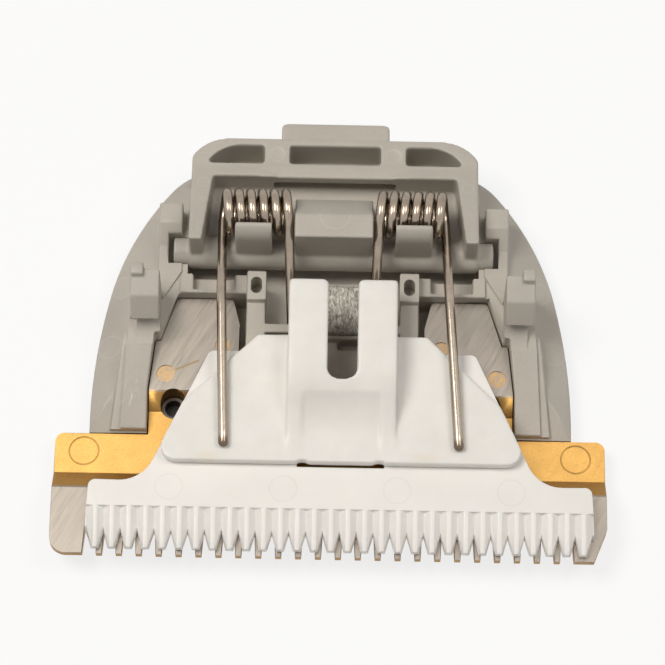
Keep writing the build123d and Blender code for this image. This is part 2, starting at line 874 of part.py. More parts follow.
with BuildPart() as housing:
    # Cover: an arched outline, rounded below, with a flange that falls away to a thin edge
    with BuildSketch(level(0)) as cover:
        with BuildLine():
            side_arc = ThreePointArc(
                (cover_width / 2, cover_front),
                (cover_side_width / 2, cover_front + cover_side_back),
                (cover_shoulder_width / 2, cover_front + cover_shoulder_back),
            )
            hip_arc = TangentArc(
                side_arc @ 1,
                (cover_hip_width / 2, cover_front + cover_hip_back),
                tangent=side_arc % 1,
            )
            TangentArc(
                (0, overall_length - cover_rear_inset),
                hip_arc @ 1,
                tangent=(1, 0),
            )
            Line((0, cover_front), side_arc @ 0)
            mirror(about=Plane.YZ)
        make_face()
        hips = cover.vertices().sort_by(lambda v: abs(abs(v.X) - cover_hip_width / 2))[:2]
        fillet(hips, cover_hip_radius)
    extrude(amount=flange_height)
    arched = housing.faces().sort_by(Axis.Z)[-1]
    rim = arched.edges().sort_by(Axis.Y)[1:]
    chamfer(rim, length=flange_run, length2=flange_height - cover_edge_height, reference=arched)
    underside = housing.faces().sort_by(Axis.Z)[0]
    fillet(underside.edges().sort_by(Axis.Y)[1:], cover_edge_radius)
    # The flange, the side rails and the rails beside the blade each fall away to the front
    with BuildSketch(section(0)):
        Polygon(*front_fall(cover_edge_height, flange_height), align=None)
    extrude(amount=cover_width, both=True, mode=Mode.SUBTRACT)
    for side in (1, -1):
        with BuildSketch(level(floor_thickness)):
            Polygon(
                (side * (well_half + rail_width), rail_front),
                (side * (well_half + rail_width + side_rail_width), rail_front),
                (side * (hook_outer + side_rail_rear_width), hook_tip),
                (side * hook_outer, hook_tip),
                align=None,
            )
        extrude(amount=side_rail_height - floor_thickness)
    with BuildSketch(section(0)):
        Polygon(*front_fall(side_rail_front_height, side_rail_height), align=None)
    extrude(amount=cover_width, both=True, mode=Mode.SUBTRACT)
    for side in (1, -1):
        with BuildSketch(level(floor_thickness)):
            Polygon(
                (side * well_half, rail_front),
                (side * (well_half + rail_width), rail_front),
                (side * hook_outer, hook_rear),
                (side * hook_inner, hook_rear),
                (side * hook_inner, pad_front),
                align=None,
            )
        extrude(amount=rail_height - floor_thickness)
    with BuildSketch(section(0)):
        Polygon(*front_fall(rail_front_height, rail_height), align=None)
    extrude(amount=cover_width, both=True, mode=Mode.SUBTRACT)
    # Snap hooks that stand on the rails, each with a narrower neck and a nub up its back
    with BuildSketch(section(hook_inner), section(-hook_outer)):
        with BuildLine():
            TangentArc(
                (hook_root, rail_height),
                (hook_neck, hook_catch_height),
                tangent=(1, 0),
            )
            Polyline(
                (hook_neck, hook_catch_height),
                (hook_tip, hook_catch_height),
                (hook_facet, hook_facet_height),
                (hook_rear, hook_height),
                (hook_rear, floor_thickness),
                (hook_root, floor_thickness),
                (hook_root, rail_height),
            )
        make_face()
    extrude(amount=hook_width)
    with BuildSketch(level(rail_height)):
        for x in both_sides(hook_outer - hook_neck_inset / 2):
            with Locations((x, hook_root)):
                Rectangle(hook_neck_inset, hook_neck - hook_root, align=(Align.CENTER, Align.MIN))
    extrude(amount=hook_catch_height - rail_height, mode=Mode.SUBTRACT)
    with BuildSketch(level(floor_thickness)):
        for x in both_sides(hook_outer - nub_size / 2):
            with Locations((x, hook_rear + nub_back)):
                Rectangle(nub_size, nub_size, align=(Align.CENTER, Align.MAX))
    extrude(amount=hook_height + nub_height - floor_thickness)
    # Well for the blade's legs, following their outline, open to the front
    with BuildSketch(level(floor_thickness)):
        Polygon(
            mirrored(
                [
                    (well_half, cover_front),
                    (well_half, pad_front),
                    (leg_shoulder_width + blade_fit, leg_shoulder + blade_fit),
                    (hook_inner, leg_shoulder + blade_fit),
                    (leg_end_outer + blade_fit, cross_front),
                ]
            ),
            align=None,
        )
        with Locations((0, cross_front)):
            Rectangle(
                2 * (lever_half + arm_gap), overall_length, align=(Align.CENTER, Align.MIN)
            )
    extrude(amount=hook_height, mode=Mode.SUBTRACT)
    # Saddles for the lever's pins: a tall block that slopes down to a low, pointed front
    for side in (1, -1):
        with BuildSketch(level(0)):
            Polygon(
                (side * saddle_inner, pivot_y - saddle_front),
                (side * (saddle_outer - saddle_width / 4), pivot_y - saddle_point),
                (side * saddle_outer, pivot_y - saddle_front),
                (side * saddle_outer, pivot_y + saddle_rear),
                (side * saddle_inner, pivot_y + saddle_rear),
                align=None,
            )
        extrude(amount=saddle_front_height)
    with BuildSketch(section(saddle_inner), section(-saddle_outer)):
        Polygon(
            (pivot_y + saddle_slope_front, 0),
            (pivot_y + saddle_slope_front, saddle_front_height),
            (pivot_y + saddle_slope_rear, saddle_height),
            (pivot_y + saddle_rear, saddle_height),
            (pivot_y + saddle_rear, 0),
            align=None,
        )
    extrude(amount=saddle_width)
    with BuildSketch(section(0)):
        with Locations((pivot_y, pin_height)):
            Circle(pin_diameter / 2 + pin_fit)
            Rectangle(pin_diameter + 2 * pin_fit, saddle_height, align=(Align.CENTER, Align.MIN))
    extrude(amount=saddle_outer - saddle_skin, both=True, mode=Mode.SUBTRACT)
    # Cross wall behind the pads, with a recess on each side
    with BuildSketch(level(floor_thickness)):
        for x in both_sides(recess_x):
            with Locations((x, cross_front)):
                Rectangle(
                    saddle_inner - column_outer,
                    cross_rear - cross_front,
                    align=(Align.CENTER, Align.MIN),
                )
    extrude(amount=cross_wall_height - floor_thickness)
    with BuildSketch(level(cross_wall_height)):
        for x in both_sides(recess_x):
            with Locations((x, cross_front + cross_recess_wall)):
                Rectangle(
                    cross_recess_width, cross_rear - cross_front, align=(Align.CENTER, Align.MIN)
                )
    extrude(amount=-cross_recess_depth, mode=Mode.SUBTRACT)
    # Columns with bored heads, and the ledges that hold the springs' inner legs down
    column_x = (column_inner + column_outer) / 2
    column_width = column_outer - column_inner
    with BuildSketch(level(floor_thickness)):
        for x in both_sides(column_x):
            with Locations((x, column_front)):
                Rectangle(column_width, cross_rear - column_front, align=(Align.CENTER, Align.MIN))
    extrude(amount=column_height - floor_thickness)
    with BuildSketch(level(floor_thickness)):
        for x in both_sides(column_x):
            with Locations((x, cross_rear)):
                Rectangle(column_width, column_head_length, align=(Align.CENTER, Align.MAX))
    extrude(amount=column_head_height - floor_thickness)
    with BuildSketch(level(column_head_height)):
        with Locations(*[(x, cross_rear - column_head_length / 2) for x in both_sides(column_x)]):
            SlotOverall(column_bore_length, column_bore, rotation=90)
    extrude(amount=-column_bore_depth, mode=Mode.SUBTRACT)
    with BuildSketch(level(column_height)):
        for x in both_sides((column_inner + felt_width / 2 + felt_wall) / 2):
            with Locations((x, ledge_front)):
                Rectangle(
                    column_inner - felt_width / 2 - felt_wall,
                    ledge_depth,
                    align=(Align.CENTER, Align.MIN),
                )
    extrude(amount=-ledge_thickness)
    # Tray walls round the oil felt, and a sump in front of them
    with BuildSketch(level(floor_thickness)):
        with Locations((0, felt_front + felt_length / 2)):
            Rectangle(
                felt_width + 2 * (felt_fit + felt_wall), felt_length + 2 * (felt_fit + felt_wall)
            )
            Rectangle(felt_width + 2 * felt_fit, felt_length + 2 * felt_fit, mode=Mode.SUBTRACT)
    extrude(amount=felt_wall_height)
    with BuildSketch(level(floor_thickness)):
        with Locations((sump_x, felt_front - felt_fit - felt_wall)):
            Rectangle(sump_width, sump_length, align=(Align.CENTER, Align.MAX))
    extrude(amount=-sump_depth, mode=Mode.SUBTRACT)
    # Hollow pegs in the blade's holes
    with BuildSketch(level(floor_thickness)):
        with Locations(*blade_holes):
            Circle(blade_hole_diameter / 2 - peg_clearance)
    extrude(amount=peg_engagement)
    with BuildSketch(level(peg_top)):
        with Locations(*blade_holes):
            Circle(blade_hole_diameter / 2 - peg_clearance - peg_wall)
    extrude(amount=-floor_thickness, mode=Mode.SUBTRACT)
    # Ribs that the lever's beam rests on
    with BuildSketch(level(floor_thickness)):
        with Locations(*[(x, rest_rib_y) for x in both_sides(rest_rib_spacing / 2)]):
            Rectangle(rest_rib_width, rest_rib_length)
    extrude(amount=beam_underside - rest_gap - floor_thickness)
housing.part.label = "housing"

# Oil felt
with BuildPart() as oil_felt:
    with BuildSketch(level(floor_thickness)):
        with Locations((0, felt_front + felt_length / 2)):
            Rectangle(felt_width, felt_length)
    extrude(amount=felt_thickness)
oil_felt.part.label = "oil_felt"

export_step(housing.part, "parts/housing.step")
export_step(fixed_blade.part, "parts/fixed_blade.step")
export_step(oil_felt.part, "parts/oil_felt.step")
export_step(moving_blade.part, "parts/moving_blade.step")
export_step(drive_follower.part, "parts/drive_follower.step")
export_step(lever.part, "parts/lever.step")
export_step(left_spring, "parts/left_spring.step")
export_step(right_spring, "parts/right_spring.step")
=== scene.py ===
import json
from math import cos, pi, radians, sin, tan

import bmesh
import bpy
from bpy.props import FloatProperty, FloatVectorProperty, IntProperty, PointerProperty
from mathutils import Matrix, Vector, noise
from mathutils.bvhtree import BVHTree
from mathutils.geometry import intersect_point_line


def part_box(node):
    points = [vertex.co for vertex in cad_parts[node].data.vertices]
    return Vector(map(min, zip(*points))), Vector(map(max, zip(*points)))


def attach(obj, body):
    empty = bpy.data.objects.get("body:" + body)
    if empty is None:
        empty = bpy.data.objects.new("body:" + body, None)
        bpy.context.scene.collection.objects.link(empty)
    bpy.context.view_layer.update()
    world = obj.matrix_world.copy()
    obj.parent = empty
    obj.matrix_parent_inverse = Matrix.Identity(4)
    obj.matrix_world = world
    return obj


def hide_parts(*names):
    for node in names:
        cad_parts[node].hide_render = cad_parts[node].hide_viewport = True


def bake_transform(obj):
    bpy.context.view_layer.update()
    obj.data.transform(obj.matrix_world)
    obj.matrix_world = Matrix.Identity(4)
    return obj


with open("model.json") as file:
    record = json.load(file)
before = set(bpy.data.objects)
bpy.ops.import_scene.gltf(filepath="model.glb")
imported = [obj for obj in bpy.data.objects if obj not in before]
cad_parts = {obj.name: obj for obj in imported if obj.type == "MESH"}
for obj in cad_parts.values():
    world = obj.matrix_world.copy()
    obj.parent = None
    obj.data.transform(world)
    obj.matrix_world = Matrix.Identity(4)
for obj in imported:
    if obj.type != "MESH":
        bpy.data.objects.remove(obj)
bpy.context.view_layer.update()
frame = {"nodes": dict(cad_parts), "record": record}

bl_info = {
    "name": "Clipper blade head",
    "version": (1, 0, 0),
    "blender": (4, 5, 0),
    "location": "View3D > Sidebar > Clipper",
    "description": "Dresses the CAD model of a detachable clipper blade head",
    "category": "Object",
}

MM = 0.001
TIPS_Y = frame["record"]["size"]["bbox_m"][1] / -2

# Corners of a copied mesh that lie closer than this are one corner
WELD = 0.0005 * MM
# An edge that folds more than this is rounded where there is room
SHARP_FOLD = radians(28)
# An edge that still folds more than this stays a crease in the shading
CREASE_FOLD = radians(50)

WHITE = (1, 1, 1, 1)

# Settings that many nodes share
FADE = {"interpolation_type": "SMOOTHSTEP"}
OVERLAY = {"data_type": "RGBA"}
TINT = {"data_type": "RGBA", "blend_type": "MULTIPLY"}
TIMES = {"operation": "MULTIPLY"}
TIMES_PLUS = {"operation": "MULTIPLY_ADD"}
LARGER = {"operation": "MAXIMUM"}
SMALLER = {"operation": "MINIMUM"}
UNSIGNED = {"operation": "ABSOLUTE"}
STRETCH = {"vector_type": "TEXTURE"}
# Most values of a noise texture lie in this span
NOISE_SPAN = {"From Min": 0.3, "From Max": 0.7}


def linear(hex_colour):
    """sRGB hex, such as "#B4AEA3", as linear RGB."""
    parts = [int(hex_colour[i : i + 2], 16) / 255 for i in (1, 3, 5)]
    return [c / 12.92 if c <= 0.04045 else ((c + 0.055) / 1.055) ** 2.4 for c in parts]


class ClipperSizes(bpy.types.PropertyGroup):
    """Sizes that the dressing adds to the CAD model."""

    cover_edge: FloatProperty(
        name="Cover edge radius",
        description="Rounding of the moulded cover's edges",
        default=0.16 * MM,
        unit="LENGTH",
        precision=5,
    )
    moulding_step: FloatProperty(
        name="Moulding step",
        description="Mesh step of the lever and drive follower, which sets how far their edges are rounded",
        default=0.13 * MM,
        unit="LENGTH",
        precision=5,
    )
    cutter_edge: FloatProperty(
        name="Cutter edge radius",
        description="Rounding of the ceramic cutter's edges",
        default=0.08 * MM,
        unit="LENGTH",
        precision=5,
    )
    blade_edge: FloatProperty(
        name="Comb edge break",
        description="Edge break left by tumbling the comb",
        default=0.05 * MM,
        unit="LENGTH",
        precision=5,
    )
    wire: FloatProperty(
        name="Wire diameter",
        description="Diameter of the spring wire",
        default=0.82 * MM,
        unit="LENGTH",
        precision=5,
    )
    coil_radius: FloatProperty(
        name="Coil radius",
        description="Mean radius of the spring coils",
        default=1.65 * MM,
        unit="LENGTH",
        precision=5,
    )
    coil_pitch: FloatProperty(
        name="Coil pitch",
        description="Distance between neighbouring turns",
        default=0.99 * MM,
        unit="LENGTH",
        precision=5,
    )
    felt_fibres: IntProperty(
        name="Felt fibres",
        description="Loose fibres on top of the oil felt",
        default=260,
        min=0,
    )


class ClipperColours(bpy.types.PropertyGroup):
    """Colours of the finishes."""

    abs_grey: FloatVectorProperty(
        name="Moulded ABS",
        description="Warm grey of the cover and lever",
        subtype="COLOR",
        default=linear("#BAB4AA"),
    )
    gilt: FloatVectorProperty(
        name="Gilt coating",
        description="Gold-toned coating of the comb",
        subtype="COLOR",
        default=linear("#D0A25C"),
    )
    ground_steel: FloatVectorProperty(
        name="Ground steel",
        description="Bare steel on the comb's lands",
        subtype="COLOR",
        default=linear("#989086"),
    )
    zirconia: FloatVectorProperty(
        name="Zirconia",
        description="White of the ceramic cutter",
        subtype="COLOR",
        default=linear("#F4F1ED"),
    )
    acetal: FloatVectorProperty(
        name="Acetal",
        description="White of the drive follower",
        subtype="COLOR",
        default=linear("#F4F1EC"),
    )
    music_wire: FloatVectorProperty(
        name="Music wire",
        description="Bare steel of the springs",
        subtype="COLOR",
        default=linear("#AFA293"),
    )
    felt: FloatVectorProperty(
        name="Wool felt",
        description="Oiled felt",
        subtype="COLOR",
        default=linear("#C9C4BB"),
    )
    paper: FloatVectorProperty(
        name="Stage",
        description="Floor and backdrop",
        subtype="COLOR",
        default=linear("#F8F8F8"),
    )


def add_node(tree, kind, settings=None, inputs=None):
    """Adds one node, with its settings, and its inputs as values or links."""
    made = tree.nodes.new(kind)
    for name, value in (settings or {}).items():
        setattr(made, name, value)
    for socket, value in (inputs or {}).items():
        if isinstance(value, bpy.types.NodeSocket):
            tree.links.new(value, made.inputs[socket])
        else:
            made.inputs[socket].default_value = value
    return made


def at(x, back, z):
    """Point at x, at a distance behind the tooth tips and at a height, all in mm."""
    return Vector((x * MM, TIPS_Y + back * MM, z * MM))


def per_metre(size_mm):
    """Texture scale that gives one feature each size_mm."""
    return 1 / (size_mm * MM)


def new_finish(name):
    """Material with a Principled shader: its tree, its shader and Object coordinates."""
    finish = bpy.data.materials.new(name)
    finish.use_nodes = True
    tree = finish.node_tree
    shader = tree.nodes["Principled BSDF"]
    place = add_node(tree, "ShaderNodeTexCoord").outputs["Object"]
    return finish, tree, shader, place


def seen_white(tree):
    """1 for rays from the camera and for those that a shiny or clear surface sends on, and 0 for light."""
    rays = add_node(tree, "ShaderNodeLightPath").outputs
    seen = rays["Is Camera Ray"]
    for other in ("Is Glossy Ray", "Is Transmission Ray"):
        seen = add_node(tree, "ShaderNodeMath", LARGER, {0: seen, 1: rays[other]}).outputs[0]
    return seen


def circle_marks(tree, place, circles, line):
    """1 on thin circles, each an x, y and radius in mm seen from above, and 0 elsewhere."""
    nearest = None
    for x, y, radius in circles:
        offset = add_node(
            tree, "ShaderNodeVectorMath", {"operation": "SUBTRACT"}, {0: place, 1: (x * MM, y * MM, 0)}
        ).outputs[0]
        flat = add_node(
            tree, "ShaderNodeVectorMath", TIMES, {0: offset, 1: (1, 1, 0)}
        ).outputs[0]
        far = add_node(tree, "ShaderNodeVectorMath", {"operation": "LENGTH"}, {0: flat}).outputs["Value"]
        off = add_node(tree, "ShaderNodeMath", {"operation": "SUBTRACT"}, {0: far, 1: radius * MM}).outputs[0]
        off = add_node(tree, "ShaderNodeMath", UNSIGNED, {0: off}).outputs[0]
        if nearest is None:
            nearest = off
        else:
            nearest = add_node(tree, "ShaderNodeMath", SMALLER, {0: nearest, 1: off}).outputs[0]
    return add_node(
        tree,
        "ShaderNodeMapRange",
        FADE,
        {"Value": nearest, "From Min": 0.0, "From Max": line, "To Min": 1.0, "To Max": 0.0},
    ).outputs["Result"]


def near_spots(tree, place, spots, reach):
    """1 close to any of the spots (mm), fading to 0 at that reach."""
    nearest = None
    for spot in spots:
        far = add_node(
            tree,
            "ShaderNodeVectorMath",
            {"operation": "DISTANCE"},
            {0: place, 1: [c * MM for c in spot]},
        ).outputs["Value"]
        if nearest is None:
            nearest = far
        else:
            nearest = add_node(tree, "ShaderNodeMath", SMALLER, {0: nearest, 1: far}).outputs[0]
    return add_node(
        tree,
        "ShaderNodeMapRange",
        FADE,
        {"Value": nearest, "From Min": 0.6 * reach, "From Max": reach, "To Min": 1.0, "To Max": 0.0},
    ).outputs["Result"]


def moulded_abs(colour):
    """Moulded ABS: even warm grey, a soft sheen, fine spark-eroded grain, pale rub marks on one rail."""
    finish, tree, shader, place = new_finish("moulded_abs")
    cloud = add_node(
        tree,
        "ShaderNodeTexNoise",
        None,
        {"Vector": place, "Scale": per_metre(6), "Detail": 3.0, "Roughness": 0.6},
    ).outputs["Fac"]
    # The real grain is a few hundredths of a millimetre and is drawn coarser so that it shows
    grain = add_node(
        tree,
        "ShaderNodeTexNoise",
        None,
        {"Vector": place, "Scale": per_metre(0.16), "Detail": 2.0, "Roughness": 0.7},
    ).outputs["Fac"]
    shade = add_node(
        tree,
        "ShaderNodeMapRange",
        None,
        {"Value": cloud, **NOISE_SPAN, "To Min": 0.94, "To Max": 1.05},
    ).outputs["Result"]
    speck = add_node(
        tree,
        "ShaderNodeMapRange",
        None,
        {"Value": grain, **NOISE_SPAN, "To Min": 0.955, "To Max": 1.04},
    ).outputs["Result"]
    tone = add_node(tree, "ShaderNodeMath", TIMES, {0: shade, 1: speck}).outputs[0]
    grey = add_node(
        tree,
        "ShaderNodeMix",
        TINT,
        {"Factor": 1.0, "A": (*colour, 1), "B": tone},
    ).outputs["Result"]
    # Rub marks: pale streaks along the left rail, within a long oval
    rub_pale = linear("#D8D5CF")
    rail_spot = (-16.4 * MM, -5.6 * MM, 3.8 * MM)
    oval = (1.6, 0.72, 0.8)
    turned = add_node(
        tree,
        "ShaderNodeMapping",
        STRETCH,
        {"Vector": place, "Rotation": (0, 0, radians(-14)), "Scale": (0.35, 2.2, 1.0)},
    ).outputs["Vector"]
    rub = add_node(
        tree,
        "ShaderNodeTexNoise",
        None,
        {"Vector": turned, "Scale": per_metre(1.1), "Detail": 4.0, "Roughness": 0.62, "Distortion": 0.8},
    ).outputs["Fac"]
    rub = add_node(
        tree,
        "ShaderNodeMapRange",
        FADE,
        {"Value": rub, "From Min": 0.56, "From Max": 0.68, "To Min": 0.0, "To Max": 1.0},
    ).outputs["Result"]
    reach = add_node(
        tree,
        "ShaderNodeVectorMath",
        {"operation": "SUBTRACT"},
        {0: place, 1: rail_spot},
    ).outputs[0]
    reach = add_node(tree, "ShaderNodeVectorMath", TIMES, {0: reach, 1: oval}).outputs[0]
    reach = add_node(tree, "ShaderNodeVectorMath", {"operation": "LENGTH"}, {0: reach}).outputs["Value"]
    reach = add_node(
        tree,
        "ShaderNodeMapRange",
        FADE,
        {"Value": reach, "From Min": 1.0 * MM, "From Max": 2.6 * MM, "To Min": 0.75, "To Max": 0.0},
    ).outputs["Result"]
    rub = add_node(tree, "ShaderNodeMath", TIMES, {0: rub, 1: reach}).outputs[0]
    grey = add_node(
        tree, "ShaderNodeMix", OVERLAY, {"Factor": rub, "A": grey, "B": (*rub_pale, 1)}
    ).outputs["Result"]
    # Ejector pin circles on the flange, the lever's arms and webs, and its block: x, y and radius in mm
    pin_pale = linear("#D6D2CA")
    flange = [(-17.8, 4.6, 0.97), (-18.7, -0.9, 0.97), (17.5, 4.7, 0.97), (18.7, -0.8, 0.97)]
    arms = [(-11.2, 12.6, 0.48), (11.3, 12.4, 0.48), (-4.97, 15.58, 0.62), (4.97, 15.58, 0.62)]
    block = (0.06, 8.75, 1.25)
    marks = circle_marks(tree, place, [*flange, *arms, block], 0.11 * MM)
    marked = add_node(tree, "ShaderNodeMath", TIMES, {0: marks, 1: 0.22}).outputs[0]
    grey = add_node(
        tree, "ShaderNodeMix", OVERLAY, {"Factor": marked, "A": grey, "B": (*pin_pale, 1)}
    ).outputs["Result"]
    # Painted shade: the hollow pegs under the comb's holes are darkened so that the holes look deep
    hole_shade_dark = linear("#2B2723")
    pegs = [(-13.2, -5.95, 0.3), (13.2, -5.95, 0.3)]
    painted_hole_shade = near_spots(tree, place, pegs, 2.0 * MM)
    grey = add_node(
        tree, "ShaderNodeMix", OVERLAY, {"Factor": painted_hole_shade, "A": grey, "B": (*hole_shade_dark, 1)}
    ).outputs["Result"]
    tree.links.new(grey, shader.inputs["Base Color"])
    rough = add_node(
        tree,
        "ShaderNodeMapRange",
        None,
        {"Value": grain, **NOISE_SPAN, "To Min": 0.4, "To Max": 0.52},
    ).outputs["Result"]
    tree.links.new(rough, shader.inputs["Roughness"])
    relief = add_node(tree, "ShaderNodeMath", TIMES_PLUS, {0: marks, 1: -1.5, 2: grain}).outputs[0]
    bump = add_node(tree, "ShaderNodeBump", None, {"Strength": 0.25, "Distance": 0.03 * MM, "Height": relief})
    tree.links.new(bump.outputs["Normal"], shader.inputs["Normal"])
    shader.inputs["IOR"].default_value = 1.52
    return finish


def gilt_sintered_steel(gilt, bare):
    """Sintered steel with a gold-toned coating: grainy and speckled, and ground bare on top of its lands."""
    finish, tree, shader, place = new_finish("gilt_sintered_steel")
    axes = add_node(tree, "ShaderNodeSeparateXYZ", None, {"Vector": place})
    facing = add_node(tree, "ShaderNodeNewGeometry").outputs["Normal"]
    upright = add_node(tree, "ShaderNodeSeparateXYZ", None, {"Vector": facing}).outputs["Z"]
    # The sintered grain is drawn coarser than the real one so that it shows
    grain = add_node(
        tree,
        "ShaderNodeTexNoise",
        None,
        {"Vector": place, "Scale": per_metre(0.2), "Detail": 3.0, "Roughness": 0.75},
    ).outputs["Fac"]
    cloud = add_node(
        tree,
        "ShaderNodeTexNoise",
        None,
        {"Vector": place, "Scale": per_metre(2.4), "Detail": 3.0, "Roughness": 0.6},
    ).outputs["Fac"]
    pits = add_node(
        tree,
        "ShaderNodeMapRange",
        FADE,
        {"Value": grain, "From Min": 0.34, "From Max": 0.5, "To Min": 0.84, "To Max": 1.0},
    ).outputs["Result"]
    tint = add_node(
        tree,
        "ShaderNodeMapRange",
        None,
        {"Value": cloud, **NOISE_SPAN, "To Min": 0.9, "To Max": 1.05},
    ).outputs["Result"]
    # Painted shade: the gold is made darker on the steep flanks, by their slope alone
    painted_flank_shade = add_node(
        tree,
        "ShaderNodeMapRange",
        FADE,
        {"Value": upright, "From Min": 0.86, "From Max": 0.99, "To Min": 0.6, "To Max": 1.0},
    ).outputs["Result"]
    tone = add_node(tree, "ShaderNodeMath", TIMES, {0: pits, 1: tint}).outputs[0]
    tone = add_node(tree, "ShaderNodeMath", TIMES, {0: tone, 1: painted_flank_shade}).outputs[0]
    ears = [(-20.55, -10.05, 1.23), (20.55, -10.05, 1.23)]
    rings = circle_marks(tree, place, ears, 0.12 * MM)
    tone = add_node(tree, "ShaderNodeMath", TIMES_PLUS, {0: rings, 1: -0.42, 2: tone}).outputs[0]
    gold = add_node(
        tree,
        "ShaderNodeMix",
        TINT,
        {"Factor": 1.0, "A": (*gilt, 1), "B": tone},
    ).outputs["Result"]
    # Grinding marks: fine lines that run slantwise over the pads
    slant = add_node(
        tree,
        "ShaderNodeMapping",
        STRETCH,
        {"Vector": place, "Rotation": (0, 0, radians(-28)), "Scale": (1.0, 14.0, 1.0)},
    ).outputs["Vector"]
    swirl = add_node(
        tree,
        "ShaderNodeTexNoise",
        None,
        {"Vector": slant, "Scale": per_metre(0.22), "Detail": 3.0, "Roughness": 0.6, "Distortion": 0.3},
    ).outputs["Fac"]
    lines = add_node(
        tree,
        "ShaderNodeMapRange",
        None,
        {"Value": swirl, **NOISE_SPAN, "To Min": 0.88, "To Max": 1.08},
    ).outputs["Result"]
    steel = add_node(
        tree,
        "ShaderNodeMix",
        TINT,
        {"Factor": 1.0, "A": (*bare, 1), "B": lines},
    ).outputs["Result"]
    # Scribed line across the left pad
    scribe_brown = linear("#8C7C62")
    along = add_node(
        tree,
        "ShaderNodeMapping",
        STRETCH,
        {"Vector": place, "Location": (-12.1 * MM, -2.7 * MM, 0), "Rotation": (0, 0, radians(24.5))},
    ).outputs["Vector"]
    scribe_axes = add_node(tree, "ShaderNodeSeparateXYZ", None, {"Vector": along})
    across = add_node(tree, "ShaderNodeMath", UNSIGNED, {0: scribe_axes.outputs["Y"]}).outputs[0]
    across = add_node(
        tree,
        "ShaderNodeMapRange",
        FADE,
        {"Value": across, "From Min": 0.05 * MM, "From Max": 0.14 * MM, "To Min": 1.0, "To Max": 0.0},
    ).outputs["Result"]
    length = add_node(tree, "ShaderNodeMath", UNSIGNED, {0: scribe_axes.outputs["X"]}).outputs[0]
    half_length = 1.05 * MM
    length = add_node(
        tree, "ShaderNodeMath", {"operation": "LESS_THAN"}, {0: length, 1: half_length}
    ).outputs[0]
    scribe = add_node(tree, "ShaderNodeMath", TIMES, {0: across, 1: length}).outputs[0]
    steel = add_node(
        tree, "ShaderNodeMix", OVERLAY, {"Factor": scribe, "A": steel, "B": (*scribe_brown, 1)}
    ).outputs["Result"]
    # The wheel takes the coating off the lands and thins it in their shallow dimples
    land_height = 3.37 * MM
    dimple_height = 3.25 * MM
    dimples = add_node(
        tree,
        "ShaderNodeMapRange",
        None,
        {"Value": grain, "From Min": 0.4, "From Max": 0.6, "To Min": 0.25, "To Max": 0.95},
    ).outputs["Result"]
    shallow = add_node(
        tree, "ShaderNodeMath", {"operation": "GREATER_THAN"}, {0: axes.outputs["Z"], 1: dimple_height}
    ).outputs[0]
    top = add_node(
        tree, "ShaderNodeMath", {"operation": "GREATER_THAN"}, {0: axes.outputs["Z"], 1: land_height}
    ).outputs[0]
    ground = add_node(tree, "ShaderNodeMath", TIMES, {0: shallow, 1: dimples}).outputs[0]
    ground = add_node(tree, "ShaderNodeMath", LARGER, {0: ground, 1: top}).outputs[0]
    colour = add_node(
        tree, "ShaderNodeMix", OVERLAY, {"Factor": ground, "A": gold, "B": steel}
    ).outputs["Result"]
    tree.links.new(colour, shader.inputs["Base Color"])
    rough = add_node(
        tree,
        "ShaderNodeMapRange",
        None,
        {"Value": swirl, **NOISE_SPAN, "To Min": 0.34, "To Max": 0.48},
    ).outputs["Result"]
    tree.links.new(rough, shader.inputs["Roughness"])
    relief = add_node(
        tree, "ShaderNodeMix", {"data_type": "FLOAT"}, {"Factor": ground, "A": grain, "B": swirl}
    ).outputs["Result"]
    bump = add_node(tree, "ShaderNodeBump", None, {"Strength": 0.3, "Distance": 0.03 * MM, "Height": relief})
    tree.links.new(bump.outputs["Normal"], shader.inputs["Normal"])
    shader.inputs["Metallic"].default_value = 1.0
    return finish


def ground_zirconia(colour):
    """Zirconia ceramic, sintered and ground: dense warm white, satin, faint pin marks and grinding lines."""
    finish, tree, shader, place = new_finish("ground_zirconia")
    cloud = add_node(
        tree,
        "ShaderNodeTexNoise",
        None,
        {"Vector": place, "Scale": per_metre(4), "Detail": 2.0, "Roughness": 0.5},
    ).outputs["Fac"]
    tone = add_node(
        tree,
        "ShaderNodeMapRange",
        None,
        {"Value": cloud, **NOISE_SPAN, "To Min": 0.965, "To Max": 1.01},
    ).outputs["Result"]
    stretched = add_node(
        tree, "ShaderNodeMapping", STRETCH, {"Vector": place, "Scale": (1.0, 10.0, 1.0)}
    ).outputs["Vector"]
    lines = add_node(
        tree, "ShaderNodeTexNoise", None, {"Vector": stretched, "Scale": per_metre(0.18), "Detail": 2.0}
    ).outputs["Fac"]
    # The pin marks sit on the cutter, which rests 0.9 mm right of the middle
    pins = [(x, -14.2, 1.12) for x in (-13.2, -3.8, 5.6, 15.0)]
    marks = circle_marks(tree, place, pins, 0.1 * MM)
    dim = add_node(tree, "ShaderNodeMath", TIMES_PLUS, {0: marks, 1: -0.07, 2: tone}).outputs[0]
    white = add_node(
        tree,
        "ShaderNodeMix",
        TINT,
        {"Factor": 1.0, "A": (*colour, 1), "B": dim},
    ).outputs["Result"]
    tree.links.new(white, shader.inputs["Base Color"])
    rough = add_node(
        tree,
        "ShaderNodeMapRange",
        None,
        {"Value": lines, **NOISE_SPAN, "To Min": 0.3, "To Max": 0.42},
    ).outputs["Result"]
    tree.links.new(rough, shader.inputs["Roughness"])
    bump = add_node(tree, "ShaderNodeBump", None, {"Strength": 0.12, "Distance": 0.02 * MM, "Height": lines})
    tree.links.new(bump.outputs["Normal"], shader.inputs["Normal"])
    shader.inputs["IOR"].default_value = 2.1
    shader.inputs["Specular IOR Level"].default_value = 0.3
    shader.inputs["Subsurface Weight"].default_value = 0.4
    shader.inputs["Subsurface Radius"].default_value = (1.0, 0.85, 0.7)
    shader.inputs["Subsurface Scale"].default_value = 0.5 * MM
    return finish


